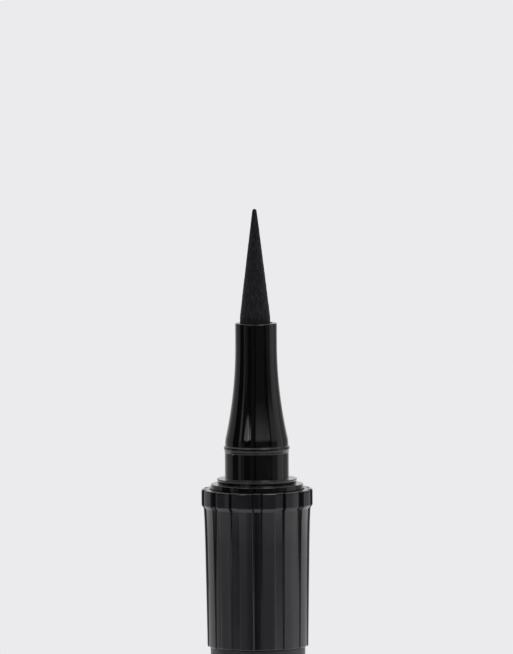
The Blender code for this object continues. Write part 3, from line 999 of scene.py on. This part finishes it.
for index, (radius, height, _) in enumerate(sleeve_points):
    up_body = min(1, max(0, (height - sleeve_foot) / body_height))
    share = 1.0 if height > crown_foot - 0.1 else 0.28 + 0.57 * up_body ** 2
    fluted.data[index].value = share if radius > recess_radius + 0.11 else 0.0


def sleeve_tree(tree, given):
    """Turns the sleeve's outline round a grid and draws its outer side in at the grooves."""
    def named(name):
        return Wire.node(
            tree, "GeometryNodeInputNamedAttribute", {"data_type": "FLOAT"}, {"Name": name},
        )

    def at_row(kind, value):
        return Wire.node(
            tree, "GeometryNodeSampleIndex", {"data_type": kind},
            {"Geometry": given["Geometry"], "Value": value, "Index": row},
        )

    def cast(kind, value):
        return value.math(kind, value)

    rows = Wire.node(
        tree, "GeometryNodeAttributeDomainSize", None, {"Geometry": given["Geometry"]},
    )
    columns = given["Grooves"] * given["Columns"]
    grid = Wire.node(
        tree, "GeometryNodeMeshGrid", None,
        {"Size X": 1.0, "Size Y": 1.0, "Vertices X": columns + 1, "Vertices Y": rows + 1},
    )
    here = tree.nodes.new("ShaderNodeSeparateXYZ")
    tree.links.new(tree.nodes.new("GeometryNodeInputPosition").outputs[0], here.inputs[0])
    across, down = (Wire(tree, here.outputs[axis]) + 0.5 for axis in (0, 1))
    row = cast("ROUND", down * rows)
    row = row.math("MODULO", row, rows)
    place = tree.nodes.new("ShaderNodeSeparateXYZ")
    position = Wire(tree, tree.nodes.new("GeometryNodeInputPosition").outputs[0])
    tree.links.new(at_row("FLOAT_VECTOR", position).socket, place.inputs[0])
    radius, height = Wire(tree, place.outputs[0]), Wire(tree, place.outputs[2])
    groove = across * given["Grooves"]
    nearest = cast("ROUND", groove)
    off = groove - nearest
    off = off * (given["Crowding"] + (1 - given["Crowding"]) * 4 * off * off)
    pitch = math.tau / given["Grooves"]
    side = abs(off) * pitch * radius
    slope = 2 * given["Depth"] / (given["Mouth"] - given["Floor"])
    wall = (side - given["Floor"] / 2) * slope
    lifted = wall.math("SMOOTH_MAX", wall, 0, given["Corner"])
    rise = wall.math("SMOOTH_MIN", lifted, given["Depth"], given["Corner"])
    depth = (given["Depth"] - rise) * at_row("FLOAT", named("fluted"))
    reach = radius - depth
    turn = (nearest + off) * pitch - math.pi / 2
    moved = Wire.node(
        tree, "ShaderNodeCombineXYZ", None,
        {0: reach * cast("COSINE", turn), 1: reach * cast("SINE", turn), 2: height},
    )
    # The rib edges join the outward edges in the edge value, which the satin paints lighter:
    # partly wear, partly a painted highlight.
    rib_edge = 1 - abs(wall - given["Depth"]) / given["Corner"]
    rib_edge = rib_edge.math("MAXIMUM", rib_edge, 0)
    worn = at_row("FLOAT", named("worn"))
    worn = worn.math("MAXIMUM", worn, rib_edge)
    marked = Wire.node(
        tree, "GeometryNodeStoreNamedAttribute", {"data_type": "FLOAT", "domain": "POINT"},
        {"Geometry": grid, "Name": "wear", "Value": worn},
    )
    shaped = Wire.node(
        tree, "GeometryNodeSetPosition", None, {"Geometry": marked, "Position": moved},
    )
    joined = Wire.node(
        tree, "GeometryNodeMergeByDistance", None, {"Geometry": shaped, "Distance": 1e-7},
    )
    smooth = Wire.node(tree, "GeometryNodeSetShadeSmooth", None, {"Geometry": joined})
    plain = Wire.node(tree, "GeometryNodeRealizeInstances", None, {"Geometry": smooth})
    return Wire.node(
        tree, "GeometryNodeSetMaterial", None,
        {"Geometry": plain, "Material": given["Material"]},
    )


trace_of_blue = 0.0024


def satin(name, base, roughness, skin):
    """Black moulded plastic with a fine skin, painted lighter along its edges: partly rubbed wear,
    partly a painted highlight.
    """
    material, tree, shader = finish(name, IOR=1.58)
    fine = grain(tree, 9000, 2)
    haze = grain(tree, 700, 4, roughness=0.6)
    drawn = grain(tree, 3000, 2, (1, 1, 0.05))
    dust = specks(tree, 1.3, 0.055, 0.12)
    outer_edges = wear(tree)
    dim, lit, wear_and_highlight_tint = (
        (base * level, base * level, base * level + trace_of_blue, 1)
        for level in (0.8, 1.3, 2.2)
    )
    # Outward and rib edges are painted lighter: partly rubbed wear, partly a painted highlight.
    shade = blend(tree, outer_edges * 0.5, blend(tree, haze, dim, lit), wear_and_highlight_tint)
    vary(shader, "Base Color", blend(tree, dust, shade, dust_grey))
    vary(shader, "Roughness", roughness * (0.55 + 0.9 * haze) - 0.04 * outer_edges + 0.3 * dust)
    relief(shader, fine * 0.5 + drawn * 0.5 + dust, skin)
    return material


sleeve_material = satin("Sleeve satin", 0.0022, 0.16, 3e-6)
sleeve = piece(sleeve_mesh, sleeve_material)
run("Fluted sleeve", sleeve, [
    ("Grooves", "NodeSocketInt", 14),
    ("Columns", "NodeSocketInt", 64),
    ("Crowding", "NodeSocketFloat", 0.6),
    ("Depth", "NodeSocketFloat", 0.32 * mm),
    ("Floor", "NodeSocketFloat", 0.68 * mm),
    ("Mouth", "NodeSocketFloat", 0.90 * mm),
    ("Corner", "NodeSocketFloat", 0.09 * mm),
    ("Material", "NodeSocketMaterial", sleeve_material),
], sleeve_tree)
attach(sleeve, "pen")
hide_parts("grip_sleeve")


# Barrel
# A plain tube of satin black plastic, moulded, with a thinner spigot on top for the sleeve
# and the collar.  The ink tank stands inside it.
barrel_radius, barrel_foot, barrel_top = span("barrel")
shoulder_z = span("grip_sleeve")[1] - 0.10
tube_radius = barrel_radius + 0.09
barrel_bore = 3.35
barrel_mesh = turned("barrel_tube", rounded([
    (spigot_radius, barrel_top, 0.12),
    (spigot_radius, shoulder_z, 0.05),
    (tube_radius, shoulder_z, 0.04),
    (tube_radius, (shoulder_z + barrel_foot) / 2, 0),
    (tube_radius, barrel_foot, 0.08),
    (barrel_bore, barrel_foot, 0.10),
    (barrel_bore, barrel_top, 0.08),
]))
barrel = piece(barrel_mesh, satin("Barrel satin", 0.0095, 0.42, 5e-6))
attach(barrel, "pen")
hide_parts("barrel")


# Tail plug
# A round-edged plug of the barrel's plastic with a hollow stem, pressed into the tail.  Its
# rim keeps a hairline seam to the tube.
plug_radius, plug_foot, plug_top = span("tail_plug")
plug_floor = plug_foot + 1.20
plug_stem = 3.15
plug_bore = 2.35
plug_mesh = turned("plug_moulding", rounded([
    (0, plug_floor, 0),
    (plug_bore, plug_floor, 0.20),
    (plug_bore, plug_top, 0.08),
    (plug_stem, plug_top, 0.15),
    (plug_stem, barrel_foot - 0.03, 0.05),
    (plug_radius, barrel_foot - 0.03, 0.08),
    (plug_radius, plug_foot, 0.40),
    (1.20, plug_foot, 0.06),
    (1.10, plug_foot + 0.12, 0.06),
    (0, plug_foot + 0.12, 0),
], closed=False), closed=False)
plug = piece(plug_mesh, satin("Plug satin", 0.0032, 0.34, 5e-6))
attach(plug, "pen")
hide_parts("tail_plug")


# Inner cap
# A soft liner of natural plastic, held in the cap by two flanges.  Its bore seals on the
# nose when the cap is closed over the nib.
liner_radius, liner_foot, liner_top = span("inner_cap")
liner_bore = 1.975
liner_wall = 2.525
liner_floor = liner_foot + 0.75
liner_tints = (0.67, 0.68, 0.66, 1), (0.79, 0.79, 0.78, 1)
liner_mesh = turned("liner_cup", rounded([
    (0, liner_floor, 0),
    (liner_bore, liner_floor, 0.30),
    (liner_bore, liner_top - 0.35, 0.10),
    (liner_bore + 0.22, liner_top, 0.06),
    (liner_radius, liner_top, 0.12),
    (liner_radius, liner_top - 0.80, 0.10),
    (liner_wall, liner_top - 0.80, 0.15),
    (liner_wall, liner_foot + 0.80, 0.15),
    (liner_radius, liner_foot + 0.80, 0.10),
    (liner_radius, liner_foot, 0.12),
    (0, liner_foot, 0),
], closed=False), closed=False)
liner_material, tree, shader = finish(
    "Inner cap plastic", IOR=1.50, Subsurface_Weight=0.15, Subsurface_Scale=0.4 * mm,
)
cloud = grain(tree, 380, 4)
matt = grain(tree, 5200, 3)
vary(shader, "Base Color", blend(tree, cloud, *liner_tints))
vary(shader, "Roughness", 0.45 + 0.15 * matt + 0.05 * wear(tree))
relief(shader, matt, 6e-6)
liner = piece(liner_mesh, liner_material)
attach(liner, "cap")
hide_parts("inner_cap")


# Cap
# A round-ended cap of satin black plastic, moulded, here pushed onto the tail.  A ledge in
# its mouth stops it at the tail's edge, or at the collar when it closes the nib.
cap_radius, cap_foot, cap_top = span("cap_shell")
cap_bore = 4.35
cap_inner = 4.00
cap_floor = cap_foot + 1.40
cap_step = plug_foot - 0.25
cap_mesh = turned("cap_cup", rounded([
    (0, cap_floor, 0),
    (cap_inner, cap_floor, 0.40),
    (cap_inner, cap_step, 0.08),
    (cap_bore, cap_step, 0.05),
    (cap_bore, cap_top - 0.30, 0.15),
    (cap_bore + 0.20, cap_top, 0.06),
    (cap_radius, cap_top, 0.14),
    (cap_radius, (cap_top + cap_foot) / 2, 0),
    (cap_radius, cap_foot, 0.60),
    (1.10, cap_foot, 0.05),
    (1.00, cap_foot + 0.10, 0.05),
    (0, cap_foot + 0.10, 0),
], closed=False), closed=False, columns=256)
cap = piece(cap_mesh, satin("Cap satin", 0.0032, 0.36, 5e-6))
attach(cap, "cap")
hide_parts("cap_shell")
